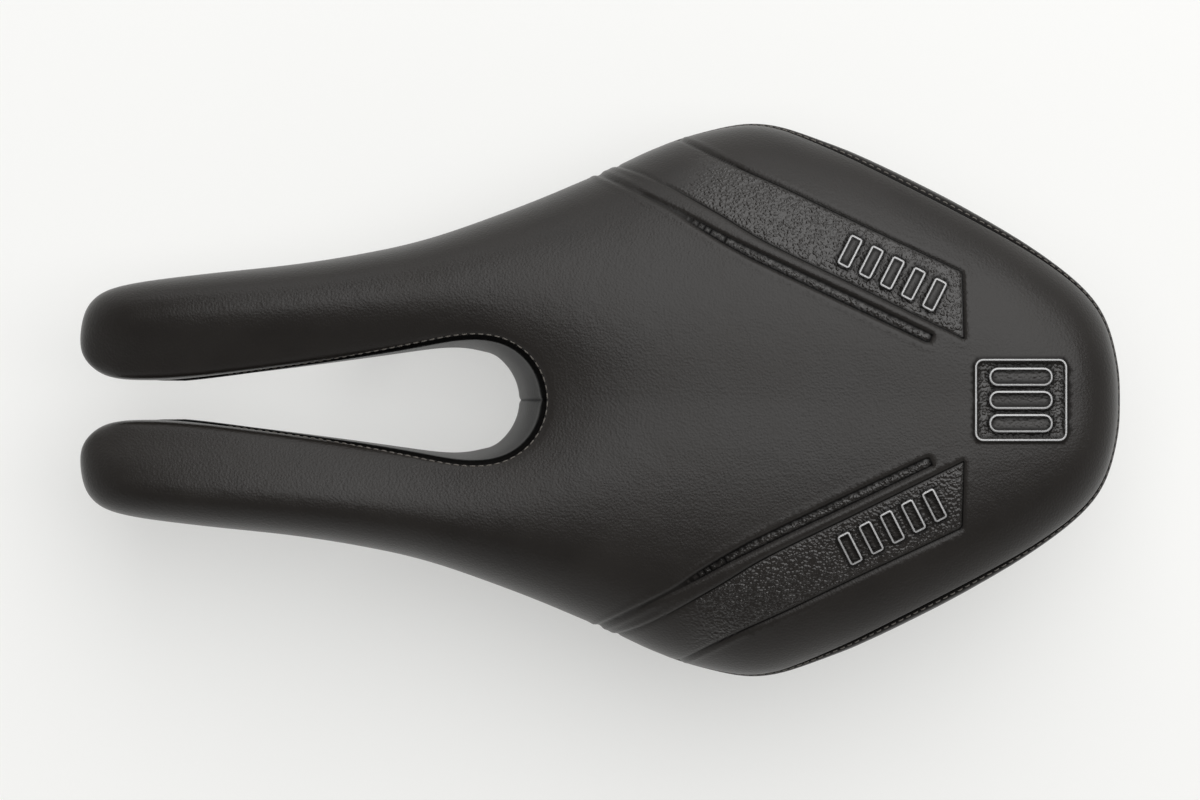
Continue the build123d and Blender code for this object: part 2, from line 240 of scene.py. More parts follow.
# ---------------------------------------------------------------- pressed details, in plan
# Left half: points (x, y) with y towards the rider's left. The panel's and the creases' ends lie
# beyond the silhouette, so that they run off the edge.
PANEL_OUTER = [(-85.1, 29.9), (-61.2, 41.2), (-45.0, 49.1), (-33.6, 54.4), (-23.0, 59.9),
               (-12, 66)]
PANEL_INNER = [(-85.3, 14.3), (-60.9, 26.3), (-39.9, 36.6), (-28.8, 43.3), (-17.6, 49.8),
               (-11.3, 53.0), (-5.6, 55.3), (6, 59)]
BAR_LINE = [(-77.6, 14.2), (-60.9, 22.2), (-35.4, 34.5), (-23.0, 41.5), (-17.6, 44.7),
            (-1.5, 53.0), (8, 58)]
BAR_HALF = [(-90, 1.0), (-60, 1.1), (-36, 1.05), (-23, 0.65), (-17, 0.2), (10, 0.15)]
BADGE_CENTRE, BADGE_HALF, BADGE_CORNER = (-98.6, 0.0), (10.5, 9.3), 1.6
PILL_HALF, PILL_PITCH = (7.2, 1.9), 5.4
MARKS, MARK_PITCH, MARK_HALF = 5, 5.5, (1.35, 3.6)
MARK_START, MARK_WAY = (-59.0, 34.6), (-0.889, -0.459)
RIDGE = 0.19                # half the width of a silver line

GROOVE, GROOVE_WIDTH = 0.45, 0.42
PANEL_DEPTH, BAR_DEPTH, BADGE_DEPTH = 0.3, 0.15, 0.3
BAR_CROWN = 0.35
RIDGE_HEIGHT, MARK_HEIGHT = 0.24, 0.18
LIP, MOAT = 0.14, 0.14      # how high a groove's lip is, and how deep the dip round a mark is
# how wide the painted shade along a groove is
PAINTED_SHADE_WIDTH = 0.21
PANEL_FADE, BAR_FADE = (17, 31), (18, 26)    # the stretch over which the grain comes in


def curve(points, spacing=0.8):
    """Even points on a smooth curve through the given points."""
    p = np.array(points, float)
    p = np.vstack([2 * p[0] - p[1], p, 2 * p[-1] - p[-2]])
    made = []
    for i in range(1, len(p) - 2):
        t = np.linspace(0, 1, 40, endpoint=False)[:, None]
        made.append(0.5 * (
            2 * p[i] + (p[i + 1] - p[i - 1]) * t
            + (2 * p[i - 1] - 5 * p[i] + 4 * p[i + 1] - p[i + 2]) * t ** 2
            + (3 * p[i] - p[i - 1] - 3 * p[i + 1] + p[i + 2]) * t ** 3
        ))
    return even_points(np.vstack(made + [p[-2:-1]]), spacing)


def even_points(line, spacing):
    """A polyline's points again, evenly spaced."""
    line = np.asarray(line, float)
    length = np.concatenate([[0], np.cumsum(np.hypot(*np.diff(line, axis=0).T))])
    at = np.linspace(0, length[-1], max(2, int(round(length[-1] / spacing)) + 1))
    return np.stack([np.interp(at, length, line[:, i]) for i in (0, 1)], axis=1)


def moved(line, by):
    """A polyline moved sideways, to its left for a positive distance."""
    way = np.gradient(line, axis=0)
    way /= np.maximum(np.hypot(*way.T), 1e-9)[:, None]
    by = np.broadcast_to(by, len(line))[:, None]
    return line + by * np.stack([-way[:, 1], way[:, 0]], axis=1)


def rounded(corners, radius, steps=5):
    """A closed polygon with each corner rounded."""
    corners = np.array(corners, float)
    made = []
    for i, corner in enumerate(corners):
        before = corners[i - 1] - corner
        after = corners[(i + 1) % len(corners)] - corner
        before /= np.hypot(*before)
        after /= np.hypot(*after)
        half = math.acos(np.clip(before @ after, -1, 1)) / 2
        back = radius / math.tan(half)
        centre = corner + (before + after) / np.hypot(*(before + after)) * radius / math.sin(half)
        a, b = corner + before * back - centre, corner + after * back - centre
        for t in np.linspace(0, 1, steps + 1):
            way = a * (1 - t) + b * t
            made.append(centre + way / np.hypot(*way) * radius)
    return np.array(made)


def closed(line, spacing):
    """A closed polygon as even points, the first one repeated at the end."""
    return even_points(np.vstack([line, line[:1]]), spacing)


def grown(line, by):
    """A closed, evenly spaced outline (first point repeated) moved outwards."""
    ring = line[:-1]
    way = np.roll(ring, -1, axis=0) - np.roll(ring, 1, axis=0)
    way /= np.hypot(*way.T)[:, None]
    area = np.sum(ring[:, 0] * np.roll(ring[:, 1], -1) - np.roll(ring[:, 0], -1) * ring[:, 1])
    out = np.stack([way[:, 1], -way[:, 0]], axis=1) * (1 if area > 0 else -1)
    ring = ring + by * out
    return np.vstack([ring, ring[:1]])


def away(points, line):
    """Distance of each point from a polyline."""
    best = np.full(len(points), 1e9)
    for a, b in zip(line[:-1], line[1:]):
        ab = b - a
        t = np.clip((points - a) @ ab / max(ab @ ab, 1e-12), 0, 1)
        best = np.minimum(best, np.hypot(*(points - a - t[:, None] * ab).T))
    return best


def inside(points, line):
    """True for each point inside a closed polygon."""
    x, y = points.T
    made = np.zeros(len(points), bool)
    for (ax, ay), (bx, by) in zip(line, np.roll(line, -1, axis=0)):
        if ay != by:
            made ^= ((ay > y) != (by > y)) & (x < (bx - ax) * (y - ay) / (by - ay) + ax)
    return made


OUTER_EDGE, INNER_EDGE = curve(PANEL_OUTER), curve(PANEL_INNER)
PANEL = closed(np.vstack([INNER_EDGE, OUTER_EDGE[::-1]]), 0.8)
BAR_MIDDLE = curve(BAR_LINE)
BAR_WIDE = np.interp(BAR_MIDDLE[:, 0], *zip(*BAR_HALF))
BAR = closed(np.vstack([moved(BAR_MIDDLE, BAR_WIDE), moved(BAR_MIDDLE, -BAR_WIDE)[::-1]]), 0.6)


def box_corners(centre, half):
    (x, y), (a, b) = centre, half
    return [(x - a, y - b), (x + a, y - b), (x + a, y + b), (x - a, y + b)]


BADGE = closed(rounded(box_corners(BADGE_CENTRE, BADGE_HALF), BADGE_CORNER), 0.5)
PILLS = [
    closed(rounded(box_corners((BADGE_CENTRE[0], y), PILL_HALF), PILL_HALF[1] - 0.1), 0.4)
    for y in (0, PILL_PITCH)
]


def marks():
    """Plain bars in a row along the panel, as closed outlines with the corners rounded."""
    way = np.array(MARK_WAY)
    across = np.array([-way[1], way[0]])
    made = []
    for k in range(MARKS):
        centre = np.array(MARK_START) + way * MARK_PITCH * k
        a, b = way * MARK_HALF[0], across * MARK_HALF[1]
        corners = [centre - a - b, centre + a - b, centre + a + b, centre - a + b]
        made.append(closed(rounded(corners, 0.35, 3), 0.4))
    return made


MARK_LINES = marks()
SILVER = [BADGE] + PILLS + MARK_LINES


def detail_lines():
    """The lines that the mesh has edges along, so that each pressed edge is crisp."""
    lines = []
    for by in (-0.75, -0.3, 0, 0.3, 0.75):
        lines += [moved(INNER_EDGE, by), moved(OUTER_EDGE, by)]
        end = np.array([INNER_EDGE[0], OUTER_EDGE[0]]) + (-by, 0)
        lines.append(even_points(end, 0.8))
    for by in (0.0, 0.25, 0.55, 0.95):
        for side in (1, -1):
            lines.append(moved(BAR_MIDDLE, side * (BAR_WIDE + by)))
    bar_end = np.array([moved(BAR_MIDDLE, BAR_WIDE)[0], moved(BAR_MIDDLE, -BAR_WIDE)[0]])
    lines += [even_points(bar_end + (-by, 0), 0.4) for by in (0.0, 0.25, 0.55)]
    for line in SILVER:
        lines += [grown(line, by) for by in (-0.5, -RIDGE, RIDGE, 0.5)]
    return lines


def pressed(points):
    """How far the cover stands up (+) or is pressed in (-) at each plan point of the left half,
    how strong its pebble grain is there, how much painted shade its creases put on it, and whether
    it is silver."""
    points = np.column_stack([points[:, 0], np.abs(points[:, 1])])
    height, grain, crease = np.zeros((3, len(points)))
    silver = np.zeros(len(points), bool)
    near_edge = step(-points[:, 0] + 0.45 * (55 - points[:, 1]), *PANEL_FADE)
    behind = step(-points[:, 0], *BAR_FADE)
    for line, depth, groove, fade in (
        (PANEL, PANEL_DEPTH, GROOVE, near_edge), (BAR, BAR_DEPTH, GROOVE, behind),
        (BADGE, BADGE_DEPTH, 0.0, np.ones(len(points))),
    ):
        d = away(points, line)
        within = inside(points, line)
        height -= np.where(within, depth * step(d, 0.1, 0.7) * (0.35 + 0.65 * fade), 0)
        height -= groove * (0.7 + 0.3 * fade) * np.exp(-(d / GROOVE_WIDTH) ** 2)
        if groove:
            height += np.where(within, 0, LIP * np.exp(-((d - 1.05) / 0.5) ** 2))
            # painted shade along the groove
            crease = np.maximum(crease, (0.45 + 0.55 * fade) * np.exp(-(d / PAINTED_SHADE_WIDTH) ** 2))
        if line is BAR:
            height += np.where(within, BAR_CROWN * step(d, 0.1, 1.0), 0)
        grain = np.maximum(grain, np.where(within, fade * step(d, 0.15, 0.6), 0))
    for line in PILLS + MARK_LINES:
        d = away(points, line)
        within = inside(points, line)
        height += np.where(within, MARK_HEIGHT * step(d, 0.1, 0.6), 0)
        height -= np.where(within, 0, MOAT * np.exp(-((d - 0.6) / 0.35) ** 2))
        # painted shade in the dip round a mark
        crease = np.maximum(crease, 0.8 * np.exp(-((d - 0.55) / 0.3) ** 2))
        grain = np.where(within, grain * 0.35, grain)
    for line in SILVER:
        d = away(points, line)
        height += RIDGE_HEIGHT * (1 - step(d, RIDGE + 0.02, 0.5))
        silver |= d < RIDGE + 0.03
    # painted shade round the badge
    crease = np.maximum(crease, 0.6 * np.exp(-((away(points, BADGE) - 0.55) / 0.3) ** 2))
    return height, grain, crease, silver


# ---------------------------------------------------------------- the cover's top panel
ROWS = 48
MESH_SPACING = 1.05


def clipped(line, outline, clear):
    """The stretches of a line in the left half, inside an outline and clear of it, each one that
    crosses the middle plane ending on it."""
    whole = [line[0]]
    for a, b in zip(line[:-1], line[1:]):
        if a[1] * b[1] < 0:
            on_plane = a + (b - a) * a[1] / (a[1] - b[1])
            on_plane[1] = 0
            whole.append(on_plane)
        whole.append(b)
    whole = np.array(whole)
    keep = inside(whole, outline) & (away(whole, outline) > clear)
    keep = (keep & (whole[:, 1] > 0.2)) | (whole[:, 1] == 0)
    runs, run = [], []
    for point, ok in zip(whole, keep):
        if ok:
            run.append(point)
        elif run:
            runs.append(run)
            run = []
    return [r for r in runs + [run] if len(r) > 1]


def fill(ring):
    """Triangles of the left half inside the inner ring, with edges along the pressed details.
    Returns plan points, triangles, and for each point its place on the ring or -1."""
    outline = ring[:, :2]
    tail, front = outline[-1], outline[0]
    middle = even_points([tail, front], MESH_SPACING)[1:-1]
    points = [tuple(p) for p in outline] + [tuple(p) for p in middle]
    border = np.array(points)
    edges = [(i, (i + 1) % len(points)) for i in range(len(points))]
    lines = []
    for line in detail_lines():
        lines += clipped(line, border, 0.25)
    guard = []
    for line in lines:
        first = len(points)
        points += [tuple(p) for p in line]
        edges += [(i, i + 1) for i in range(first, len(points) - 1)]
        guard += line
    guard = np.array(guard)
    low, high = border.min(axis=0), border.max(axis=0)
    rows = []
    for k, y in enumerate(np.arange(low[1] + 0.5, high[1], MESH_SPACING * 0.866)):
        x = np.arange(low[0], high[0], MESH_SPACING) + (k % 2) * MESH_SPACING / 2
        rows.append(np.column_stack([x, np.full(len(x), y)]))
    grid = np.vstack(rows)
    grid = grid[inside(grid, border)]
    grid = grid[away(grid, np.vstack([border, border[:1]])) > 0.55 * MESH_SPACING]
    clear = np.ones(len(grid), bool)
    for start in range(0, len(grid), 500):
        part = grid[start:start + 500]
        gap = np.hypot(part[:, None, 0] - guard[None, :, 0], part[:, None, 1] - guard[None, :, 1])
        clear[start:start + 500] = gap.min(axis=1) > 0.45
    points += [tuple(p) for p in grid[clear]]
    verts, _, faces, orig, _, _ = delaunay_2d_cdt(
        [Vector(p) for p in points], edges, [], 0, 1e-5, True
    )
    verts = np.array([tuple(v) for v in verts])
    faces = np.array([f for f in faces if len(f) == 3])
    faces = faces[inside(verts[faces].mean(axis=1), border)]
    place = np.full(len(verts), -1)
    for i, sources in enumerate(orig):
        on_ring = [s for s in sources if s < len(ring)]
        if on_ring:
            place[i] = on_ring[0]
    return verts, faces, place


def strip_faces(rows, columns):
    """Quads of a grid with that many rows and columns."""
    i, j = np.meshgrid(np.arange(rows - 1), np.arange(columns - 1), indexing="ij")
    a = (i * columns + j).ravel()
    return np.column_stack([a, a + 1, a + columns + 1, a + columns])


def normals(points, faces):
    """Unit vertex normals of a mesh of triangles and quads."""
    made = np.zeros_like(points)
    for f in faces:
        f = np.asarray(f)
        corners = points[f]
        n = np.cross(corners[:, 1] - corners[:, 0], corners[:, 2] - corners[:, 0])
        if f.shape[1] == 4:
            n = np.cross(corners[:, 2] - corners[:, 0], corners[:, 3] - corners[:, 1])
        for k in range(f.shape[1]):
            np.add.at(made, f[:, k], n)
    return made / np.maximum(np.linalg.norm(made, axis=1), 1e-12)[:, None]


def mirror(points, faces):
    """The left half with its mirror image, sharing the points of the middle plane."""
    count = len(points)
    on_plane = np.abs(points[:, 1]) < 1e-6
    image = np.where(on_plane, np.arange(count), count + np.cumsum(~on_plane) - 1)
    other = points[~on_plane] * (1, -1, 1)
    return np.vstack([points, other]), faces + [image[f][:, ::-1] for f in faces], image


DIP, DIP_X, DIP_LONG, DIP_WIDE = 4.2, 40.0, 32.0, 14.0   # the dished padding round the cutout


def settled(points):
    """The points with the padding dished behind the cutout; the underside stays."""
    x, y, z = points.T
    deep = DIP * np.exp(-((x - DIP_X) / DIP_LONG) ** 2 - (y / DIP_WIDE) ** 2) * step(z, 44, 60)
    return points - np.column_stack([0 * x, 0 * x, deep])


def make(name, points, faces, materials, picks=None, facts=()):
    """A mesh object from points in millimetres, with smooth faces and facts about its points."""
    mesh = bpy.data.meshes.new(name)
    corners = [tuple(int(i) for i in f) for part in faces for f in part]
    mesh.from_pydata([tuple(p) for p in settled(points) * MM], [], corners)
    for material in materials:
        mesh.materials.append(material)
    mesh.polygons.foreach_set("use_smooth", [True] * len(mesh.polygons))
    if picks is not None:
        mesh.polygons.foreach_set("material_index", picks)
    for fact, values in dict(facts).items():
        mesh.attributes.new(fact, "FLOAT", "POINT").data.foreach_set("value", values)
    made = bpy.data.objects.new(name, mesh)
    bpy.context.scene.collection.objects.link(made)
    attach(made, "root")
    mesh.update()
    return made


def shifted(position, proud):
    """A ring at one position per spoke, standing proud of the CAD's surface by a distance each."""
    before, at, after = (LOOP.ring(position + by) for by in (-0.4, 0.0, 0.4))
    along = after - before
    turn = LOOP.spokes[:, 2:4]
    run = (along[:, :2] * turn).sum(axis=1)
    rise = along[:, 2]
    size = np.maximum(np.hypot(run, rise), 1e-9)
    out = np.column_stack([turn * (-rise / size)[:, None], run / size])
    made = at + out * np.broadcast_to(proud, len(at))[:, None]
    made[[0, -1], 1] = 0
    return made


def turned_in(ring, inward, rise):
    """A ring moved in under the saddle and up."""
    made = ring.copy()
    made[:, :2] += LOOP.spokes[:, 2:4] * np.broadcast_to(inward, len(ring))[:, None]
    made[:, 2] += rise
    made[[0, -1], 1] = 0
    return made


HAS_SKIRT = step(LOOP.seam, 0.5, 3.0)      # 0 at the nose, where the top panel goes right under
# the third value is painted shade at the seam: how dark the cover is drawn right at it
SEAM_SINK, SEAM_SOFT, SEAM_PAINTED_SHADE = 0.8, 0.6, 0.9
TOP_EDGE = ((1, 0.8), (0.9, 0.1), (0.2, -0.12))      # the turned-in edge: share of hem, rise


def top_rows():
    """The rings of the top panel: its turned-in edge, then up to the inner ring."""
    inner = LOOP.shoulder + INNER
    rows = []
    for j in range(ROWS + 1):
        position = LOOP.seam + (inner - LOOP.seam) * (j / ROWS) ** 1.2
        gone = position - LOOP.seam
        rows.append(shifted(position, -SEAM_SINK * HAS_SKIRT * np.exp(-(gone / SEAM_SOFT) ** 2)))
    hem = 1 + 3.4 * (1 - HAS_SKIRT)
    edge = [turned_in(rows[0], hem * part, rise) for part, rise in TOP_EDGE]
    return edge + rows


def top_cover(materials):
    """The top panel with everything pressed into it."""
    rows = top_rows()
    columns = len(LOOP.spokes)
    band = np.vstack(rows)
    inner = rows[-1]
    plan, triangles, place = fill(inner)
    index = np.empty(len(plan), int)
    added = []
    for i, (x, y) in enumerate(plan):
        if place[i] >= 0:
            index[i] = (len(rows) - 1) * columns + place[i]
        else:
            index[i] = len(band) + len(added)
            y = 0.0 if abs(y) < 1e-4 else y
            added.append((x, y, top_z(x, y)))
    half = np.vstack([band, added])
    points, faces, image = mirror(half, [strip_faces(len(rows), columns), index[triangles]])
    high, grain, crease, _ = pressed(points[:, :2])
    # painted shade: the turned-in edge is drawn black, and the panel dark just above the seam,
    # fading upwards
    painted_seam_shade = [1] * len(TOP_EDGE) + [SEAM_PAINTED_SHADE * math.exp(-(j / 2.2) ** 2) for j in range(ROWS + 1)]
    at_seam = np.repeat(painted_seam_shade, columns)
    at_seam *= np.tile(HAS_SKIRT, len(rows))
    crease[:len(band)] = np.maximum(crease[:len(band)], at_seam)
    crease[image[:len(band)]] = crease[:len(band)]
    level = points[:, 2] > LOOP.profiles[0][0, 1]
    points = points + normals(points, faces) * (high * level)[:, None]
    centres = np.concatenate([points[f, :2].mean(axis=1) for f in faces])
    _, _, _, silver = pressed(centres)
    facts = {"grain": grain, "crease": crease}
    return make("top_cover_sewn", points, faces, materials, silver.astype(np.int32), facts)


# ---------------------------------------------------------------- skirts
SKIRT_ROWS = 18
BULGE, BULGE_DROP, BULGE_WIDE = 0.45, 2.0, 2.2   # how proud, how far below the seam, how wide
BUTT_SINK, BUTT_SPOKES = 0.4, 0.9                # the upright butt seam in the cutout
WALL_SHADE, TOP_SHADE = 0.4, 0.93                # painted shade on the cutout's wall, at its foot and at its top
SKIRT_HEM = ((0.5, -0.15), (2.4, -0.1), (4.4, 0.0), (4.6, 0.4), (4.6, 1.3))     # inward, rise


def skirt_rows():
    """The rings of the skirts, tucked under the top panel, down the side and turned in, and how
    much painted shade each ring has."""
    rows = [turned_in(shifted(LOOP.seam, -SEAM_SINK), 0.8, 0.6)]
    painted_seam_shade = [1.0]
    for j in range(SKIRT_ROWS + 1):
        below = LOOP.seam * (j / SKIRT_ROWS) ** 1.3
        bulge = BULGE * np.exp(-((below - BULGE_DROP) / BULGE_WIDE) ** 2) * step(LOOP.seam, 1, 6)
        sink = SEAM_SINK * 1.1 * np.exp(-(below / 0.45) ** 2)
        rows.append(shifted(LOOP.seam - below, bulge - sink))
        painted_seam_shade.append(SEAM_PAINTED_SHADE * float(np.exp(-(np.median(below) / 0.4) ** 2)))
    rows += [turned_in(rows[-1], inward, rise) for inward, rise in SKIRT_HEM]
    return np.array(rows), np.array(painted_seam_shade + [0.0] * len(SKIRT_HEM))


def skirts(material):
    """The outer skirt, all the way round the tail, and the two skirts inside the cutout."""
    rows, painted_seam_shade = skirt_rows()
    number = np.arange(len(LOOP.seam))
    front = int(np.argmax(LOOP.ring(LOOP.seam)[:, 0]))
    inner = number[(LOOP.seam > 0.4) & (number < front)]
    outer = number[(LOOP.seam > 0.4) & (number > front)]
    flat = rows[:, outer].reshape(-1, 3)
    points, faces, image = mirror(flat, [strip_faces(len(rows), len(outer))[:, ::-1]])
    # painted shade on the outer skirt, dark at its seam
    crease = np.zeros(len(points))
    crease[:len(flat)] = np.repeat(painted_seam_shade, len(outer))
    crease[image] = crease[:len(flat)]
    made = [make("outer_skirt_sewn", points, faces, [material], facts={"crease": crease})]
    butt = np.exp(-(np.arange(len(inner)) / BUTT_SPOKES) ** 2)
    flat = rows[:, inner]
    flat[:, :, :2] += (LOOP.spokes[inner, 2:4] * BUTT_SINK * butt[:, None])[None]
    flat = flat.reshape(-1, 3)
    deep = np.linspace(1, 0, SKIRT_ROWS + 1)     # painted shade: the cutout's wall is drawn darkest under its seam, lighter towards its foot
    shade = WALL_SHADE + (TOP_SHADE - WALL_SHADE) * step(deep, 0.0, 0.9)
    shade = np.concatenate([[1], shade, [WALL_SHADE] * len(SKIRT_HEM)])
    # painted shade in the cutout: the seam's, the wall's and along the upright butt seam
    crease = np.maximum(np.maximum(painted_seam_shade, shade)[:, None], butt[None]).ravel()
    faces = strip_faces(len(rows), len(inner))[:, ::-1]
    for side, sign in (("left", 1), ("right", -1)):
        made.append(make(
            f"cutout_skirt_{side}_sewn", flat * (1, sign, 1), [faces[:, ::sign]], [material],
            facts={"crease": crease},
        ))
    return made


# ---------------------------------------------------------------- stitches
STITCH, STITCH_GAP, THREAD = 1.55, 0.4, 0.17     # length, gap and radius
STITCH_RISE, STITCH_DIVE = 0.05, 0.25            # above the cover in the middle, below at the ends
AROUND, ALONG = 8, 7                             # points round a stitch, and along it
OUTER_ROW, OUTER_ROW_X = -0.6, 84                # from the seam, and how far forward the row goes
CUTOUT_ROW, CUTOUT_ROW_X = 1.25, 88


def stitches(name, first, last, offset, material):
    """A row of short stitches a distance inside the seam, between two spokes, on both halves."""
    position = LOOP.seam + offset
    line = shifted(position, 0.0)[first:last]
    out = shifted(position, 1.0)[first:last] - line
    line, out = np.array(line), np.array(out)
    length = np.concatenate([[0], np.cumsum(np.linalg.norm(np.diff(line, axis=0), axis=1))])
    points, faces = [], []
    starts = np.arange(STITCH_GAP / 2, length[-1] - STITCH, STITCH + STITCH_GAP)
    for start in starts:
        at = start + np.linspace(0, STITCH, ALONG)
        middle = np.stack([np.interp(at, length, line[:, i]) for i in range(3)], axis=1)
        up = np.stack([np.interp(at, length, out[:, i]) for i in range(3)], axis=1)
        up /= np.linalg.norm(up, axis=1)[:, None]
        way = np.gradient(middle, axis=0)
        way /= np.linalg.norm(way, axis=1)[:, None]
        side = np.cross(way, up)
        bow = 1 - np.abs(np.linspace(-1, 1, ALONG)) ** 4
        middle = middle + up * (STITCH_RISE * bow - STITCH_DIVE * (1 - bow))[:, None]
        first_point = len(points)
        for k in range(ALONG):
            thick = THREAD * (0.75 + 0.25 * bow[k])
            for a in np.linspace(0, 2 * math.pi, AROUND, endpoint=False):
                points.append(middle[k] + thick * (math.cos(a) * side[k] + math.sin(a) * up[k]))
        for k in range(ALONG - 1):
            for a in range(AROUND):
                b = (a + 1) % AROUND
                corner = first_point + k * AROUND
                faces.append((corner + a, corner + b, corner + AROUND + b, corner + AROUND + a))
        for k, order in ((0, range(AROUND - 1, -1, -1)), (ALONG - 1, range(AROUND))):
            faces.append(tuple(first_point + k * AROUND + a for a in order))
    points = np.array(points)
    other = [tuple(i + len(points) for i in reversed(f)) for f in faces]
    both = np.vstack([points, points * (1, -1, 1)])
    return make(name + "_sewn", both, [faces, other], [material])


# ---------------------------------------------------------------- materials
LEATHER_DARK, LEATHER_LIGHT = (0.0105, 0.0086, 0.0072), (0.015, 0.0125, 0.0105)
# the near black that painted shade goes to
PAINTED_SHADE_COLOUR = (0.002, 0.002, 0.002)
LEATHER_CELLS, LEATHER_PORES, LEATHER_BROAD = 1700.0, 4200.0, 45.0     # noise scales, per metre
LEATHER_BUMP, LEATHER_RELIEF = 0.8, 0.06 * MM
LEATHER_SHINE, LEATHER_ROUGHNESS = 0.38, 0.33
PEBBLE_CELLS, PEBBLE_HEIGHT = 1350.0, 0.16 * MM
PEBBLE_SHINE, PEBBLE_ROUGHNESS = 0.18, 0.24
PEBBLE_WARP = 0.0007                         # how far noise bends the pebbles' pattern


def new_material(name):
    """A material, its principled shader, and a helper that adds a node and sets its inputs."""
    made = bpy.data.materials.new(name)
    made.use_nodes = True
    tree = made.node_tree
    shader = tree.nodes["Principled BSDF"]

    def add(kind, settings=(), **inputs):
        node = tree.nodes.new(kind)
        for key, value in dict(settings).items():
            setattr(node, key, value)
        for key, value in inputs.items():
            numbered = key[0] == "i" and key[1:].isdigit()
            socket = node.inputs[int(key[1:]) if numbered else key.replace("_", " ")]
            if isinstance(value, bpy.types.NodeSocket):
                tree.links.new(value, socket)
            else:
                socket.default_value = value
        return node

    return made, shader, add


def link(shader, name, socket):
    """Joins a node's output to one of the shader's inputs."""
    shader.id_data.links.new(socket, shader.inputs[name])


def ramp(add, value, low, high, to_low, to_high):
    """A value moved from one range to another."""
    return add("ShaderNodeMapRange", i0=value, i1=low, i2=high, i3=to_low, i4=to_high).outputs[0]


def leather(name):
    """Synthetic leather: a fine cell grain over soft, broad unevenness, a pebble grain where a
    point's grain says so, and painted shade, near black and without gloss, where a point is marked
    for it."""
    made, shader, add = new_material(name)
    wire = shader.id_data.links.new
    times, fused = {"operation": "MULTIPLY"}, {"operation": "MULTIPLY_ADD"}

    def maths(kind, *inputs):
        return add("ShaderNodeMath", kind, **{f"i{k}": v for k, v in enumerate(inputs)}).outputs[0]

    def cells(vector, scale, smoothness, randomness):
        return add(
            "ShaderNodeTexVoronoi", {"feature": "SMOOTH_F1"},
            Vector=vector, Scale=scale, Smoothness=smoothness, Randomness=randomness,
        ).outputs["Distance"]

    place = add("ShaderNodeTexCoord").outputs["Object"]
    fine = cells(place, LEATHER_CELLS, 0.6, 0.9)
    pores = add("ShaderNodeTexNoise", Vector=place, Scale=LEATHER_PORES, Detail=3.0).outputs[0]
    broad = add(
        "ShaderNodeTexNoise", Vector=place, Scale=LEATHER_BROAD, Detail=4.0, Roughness=0.6
    ).outputs[0]
    grain, crease = [
        add("ShaderNodeAttribute", {"attribute_name": fact}).outputs["Fac"]
        for fact in ("grain", "crease")
    ]

    tone = add("ShaderNodeMix", {"data_type": "RGBA"}, i0=ramp(add, broad, 0.3, 0.7, 0.0, 1.0))
    tone.inputs[6].default_value = (*LEATHER_DARK, 1)
    tone.inputs[7].default_value = (*LEATHER_LIGHT, 1)
    # painted shade: the colour goes towards near black where a point is marked for it
    colour = add("ShaderNodeMix", {"data_type": "RGBA"}, i0=crease)
    wire(tone.outputs[2], colour.inputs[6])
    colour.inputs[7].default_value = (*PAINTED_SHADE_COLOUR, 1)

    gloss = ramp(add, broad, 0.3, 0.7, LEATHER_ROUGHNESS - 0.03, LEATHER_ROUGHNESS + 0.03)
    gloss = maths(fused, pores, 0.10, gloss)
    gloss = add(
        "ShaderNodeMix", {"data_type": "FLOAT"}, i0=grain, i2=gloss, i3=PEBBLE_ROUGHNESS
    ).outputs[0]
    shine = maths(fused, grain, PEBBLE_SHINE, LEATHER_SHINE)
    # painted shade also takes the gloss away there
    shine = maths(times, shine, ramp(add, crease, 0.0, 1.0, 1.0, 0.03))

    height = maths(fused, pores, 0.5, fine)
    relief = add("ShaderNodeBump", Strength=LEATHER_BUMP, Distance=LEATHER_RELIEF, Height=height)
    bent = add(
        "ShaderNodeTexNoise", Vector=place, Scale=PEBBLE_CELLS * 0.6, Detail=1.0
    ).outputs["Color"]
    bent = add(
        "ShaderNodeMix", {"data_type": "VECTOR"}, i0=PEBBLE_WARP, i4=place, i5=bent
    ).outputs[1]
    tall = ramp(add, cells(bent, PEBBLE_CELLS, 0.35, 1.0), 0.15, 0.75, 1.0, 0.0)
    bumps = maths(times, tall, grain)
    pebbled = add("ShaderNodeBump", Strength=1.0, Distance=PEBBLE_HEIGHT, Height=bumps)
    wire(relief.outputs[0], pebbled.inputs["Normal"])

    link(shader, "Specular IOR Level", shine)
    link(shader, "Base Color", colour.outputs[2])
    link(shader, "Roughness", gloss)
    link(shader, "Normal", pebbled.outputs[0])
    return made


def plain(name, colour, roughness, scale, bump, metallic=0.0, stretch=(1, 1, 1), spread=0.15):
    """Moulded plastic, metal, foam or thread: a colour with fine unevenness in tone, gloss and
    relief."""
    made, shader, add = new_material(name)
    place = add("ShaderNodeTexCoord").outputs["Object"]
    place = add("ShaderNodeMapping", Vector=place, Scale=stretch).outputs[0]
    noise = add(
        "ShaderNodeTexNoise", Vector=place, Scale=scale, Detail=5.0, Roughness=0.6
    ).outputs[0]
    tone = add("ShaderNodeMix", {"data_type": "RGBA"}, i0=ramp(add, noise, 0.3, 0.7, 0.0, 1.0))
    tone.inputs[6].default_value = (*[c * (1 - spread) for c in colour], 1)
    tone.inputs[7].default_value = (*[min(1, c * (1 + spread)) for c in colour], 1)
    link(shader, "Base Color", tone.outputs[2])
    link(shader, "Roughness", ramp(add, noise, 0.3, 0.7, roughness - 0.06, roughness + 0.06))
    relief = add("ShaderNodeBump", Strength=bump, Distance=0.1 * MM, Height=noise)
    link(shader, "Normal", relief.outputs[0])
    shader.inputs["Metallic"].default_value = metallic
    return made


